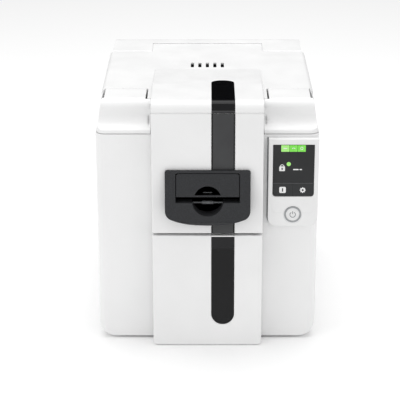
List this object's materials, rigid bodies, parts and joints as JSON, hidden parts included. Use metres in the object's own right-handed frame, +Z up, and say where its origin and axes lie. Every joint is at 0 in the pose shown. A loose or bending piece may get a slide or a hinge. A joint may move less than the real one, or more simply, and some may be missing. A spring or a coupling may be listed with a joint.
{
  "type": "id card printer",
  "caption": "Desktop printer for plastic cards with a rear-hinged lid, a tip-forward front door with a card mouth, a side control panel and an output drawer.",
  "frame": {"origin": "centre of the object's footprint box, on the plane of the feet", "axes": "+Z up, the front with the card mouth faces -Y, +X to the right seen from the front"},
  "size_m": [0.236, 0.325, 0.276],
  "materials": {
    "casing_white": "fine satin moulded ABS",
    "panel_white": "smooth satin moulded ABS",
    "foot_rubber": "moulded rubber",
    "zinc_steel": "zinc plated sheet",
    "bright_steel": "ground steel",
    "natural_plastic": "moulded acetal",
    "gloss_black": "polished",
    "grey_strip": "satin",
    "matte_black": "fine spark texture",
    "smoked_window": "smoked",
    "display_glass": "cover glass over a lit display",
    "board_green": "solder mask",
    "button_white": "satin",
    "ring_grey": "satin",
    "dark_plastic": "moulded",
    "roller_rubber": "ground silicone",
    "blue_rubber": "tacky silicone",
    "belt_rubber": "toothed belt",
    "head_alloy": "anodised heat sink",
    "ribbon_film": "wound dye film"
  },
  "bodies": {
    "root": {"lower_casing": "casing_white", "rubber_feet": "foot_rubber", "base_plate": "zinc_steel", "side_frame_left": "zinc_steel", "side_frame_right": "zinc_steel", "frame_screws": "zinc_steel", "shoulder_left": "casing_white", "shoulder_right": "casing_white", "latch_pins": "bright_steel", "rear_housing": "casing_white", "lid_hinge_pins": "bright_steel", "door_hinge_pins": "bright_steel", "output_chute": "natural_plastic", "control_panel": "panel_white", "display": "display_glass", "display_board": "board_green", "power_ring": "ring_grey", "card_hopper": "natural_plastic", "toothed_belt": "belt_rubber", "drive_motor": "dark_plastic", "ribbon_cassette": "natural_plastic", "main_board": "board_green", "power_supply": "zinc_steel", "rear_panel": "zinc_steel", "power_inlet": "dark_plastic", "data_sockets": "bright_steel", "fan_frame": "dark_plastic"},
    "lid": {"lid": "casing_white", "side_fillers": "casing_white", "lid_strip": "gloss_black", "print_head": "head_alloy", "head_bracket": "zinc_steel"},
    "door": {"front_door": "casing_white", "door_strip": "grey_strip", "card_mouth": "matte_black"},
    "flap": {"mouth_flap": "matte_black"},
    "mouth_roller": {"mouth_roller": "dark_plastic"},
    "drawer": {"output_cover": "casing_white", "output_window": "smoked_window", "output_tray": "natural_plastic"},
    "power_button": {"power_button": "button_white"},
    "key_left": {"release_key_left": "casing_white"},
    "key_right": {"release_key_right": "casing_white"},
    "hook_left": {"latch_hook_left": "natural_plastic"},
    "hook_right": {"latch_hook_right": "natural_plastic"},
    "card_weight": {"card_weight": "dark_plastic"},
    "pick_roller": {"pick_roller": "roller_rubber"},
    "feed_roller": {"feed_roller": "roller_rubber"},
    "cleaning_roller": {"cleaning_roller": "blue_rubber"},
    "platen_roller": {"platen_roller": "roller_rubber"},
    "transport_roller": {"transport_roller": "roller_rubber"},
    "motor_pulley": {"motor_pulley": "bright_steel"},
    "supply_spool": {"supply_spool": "ribbon_film"},
    "takeup_spool": {"takeup_spool": "ribbon_film"},
    "fan_rotor": {"fan_rotor": "dark_plastic"}
  },
  "joints": [
    {"name": "lid_hinge", "type": "hinge", "parent": "root", "child": "lid", "pos_m": [0, 0.0995, 0.258], "axis": [-1, 0, 0], "range_deg": [0, 80]},
    {"name": "door_hinge", "type": "hinge", "parent": "root", "child": "door", "pos_m": [0, -0.1434, 0.135], "axis": [1, 0, 0], "range_deg": [0, 60]},
    {"name": "flap_hinge", "type": "hinge", "parent": "door", "child": "flap", "pos_m": [0.0003, -0.151, 0.197], "axis": [-1, 0, 0], "range_deg": [0, 30]},
    {"name": "mouth_roller_spin", "type": "hinge", "parent": "door", "child": "mouth_roller", "pos_m": [0, -0.1497, 0.1667], "axis": [1, 0, 0], "continuous": true},
    {"name": "drawer_slide", "type": "slide", "parent": "root", "child": "drawer", "axis": [0, -1, 0], "range_m": [0, 0.095]},
    {"name": "power_press", "type": "slide", "parent": "root", "child": "power_button", "axis": [0, 1, 0], "range_m": [0, 0.0012], "stiffness_N_per_m": 1500},
    {"name": "key_left_rock", "type": "hinge", "parent": "root", "child": "key_left", "pos_m": [0, -0.10365, 0.2629], "axis": [-1, 0, 0], "range_deg": [0, 4], "stiffness_Nm_per_rad": 2, "springref_deg": -0.57},
    {"name": "key_right_rock", "type": "hinge", "parent": "root", "child": "key_right", "pos_m": [0, -0.10365, 0.2629], "axis": [-1, 0, 0], "range_deg": [0, 4], "stiffness_Nm_per_rad": 2, "springref_deg": -0.57},
    {"name": "hook_left_turn", "type": "hinge", "parent": "root", "child": "hook_left", "pos_m": [-0.084, -0.0786, 0.243], "axis": [1, 0, 0], "range_deg": [0, 8.5]},
    {"name": "hook_right_turn", "type": "hinge", "parent": "root", "child": "hook_right", "pos_m": [0.084, -0.0786, 0.243], "axis": [1, 0, 0], "range_deg": [0, 8.5]},
    {"name": "weight_slide", "type": "slide", "parent": "root", "child": "card_weight", "axis": [0, 0, 1], "range_m": [0, 0.06]},
    {"name": "platen_spin", "type": "hinge", "parent": "root", "child": "platen_roller", "pos_m": [0, 0.0215, 0.164], "axis": [1, 0, 0], "continuous": true},
    {"name": "pick_spin", "type": "hinge", "parent": "root", "child": "pick_roller", "pos_m": [0, -0.0935, 0.164], "axis": [1, 0, 0], "continuous": true},
    {"name": "feed_spin", "type": "hinge", "parent": "root", "child": "feed_roller", "pos_m": [0, -0.0325, 0.164], "axis": [1, 0, 0], "continuous": true},
    {"name": "transport_spin", "type": "hinge", "parent": "root", "child": "transport_roller", "pos_m": [0, 0.0615, 0.164], "axis": [1, 0, 0], "continuous": true},
    {"name": "motor_spin", "type": "hinge", "parent": "root", "child": "motor_pulley", "pos_m": [0, 0.0215, 0.112], "axis": [1, 0, 0], "continuous": true},
    {"name": "cleaning_spin", "type": "hinge", "parent": "root", "child": "cleaning_roller", "pos_m": [0, -0.0325, 0.1775], "axis": [1, 0, 0], "continuous": true},
    {"name": "supply_spin", "type": "hinge", "parent": "root", "child": "supply_spool", "pos_m": [0, 0.0615, 0.214], "axis": [1, 0, 0], "continuous": true},
    {"name": "takeup_spin", "type": "hinge", "parent": "root", "child": "takeup_spool", "pos_m": [0, -0.0305, 0.22], "axis": [1, 0, 0], "continuous": true},
    {"name": "fan_spin", "type": "hinge", "parent": "root", "child": "fan_rotor", "pos_m": [-0.06, 0.1515, 0.076], "axis": [0, 1, 0], "continuous": true}
  ],
  "couplings": [
    {"joint": "pick_spin", "follows": "platen_spin", "ratio": 1},
    {"joint": "feed_spin", "follows": "platen_spin", "ratio": 1},
    {"joint": "transport_spin", "follows": "platen_spin", "ratio": 1},
    {"joint": "motor_spin", "follows": "platen_spin", "ratio": 1},
    {"joint": "hook_left_turn", "follows": "key_left_rock", "ratio": 2},
    {"joint": "hook_right_turn", "follows": "key_right_rock", "ratio": 2}
  ]
}
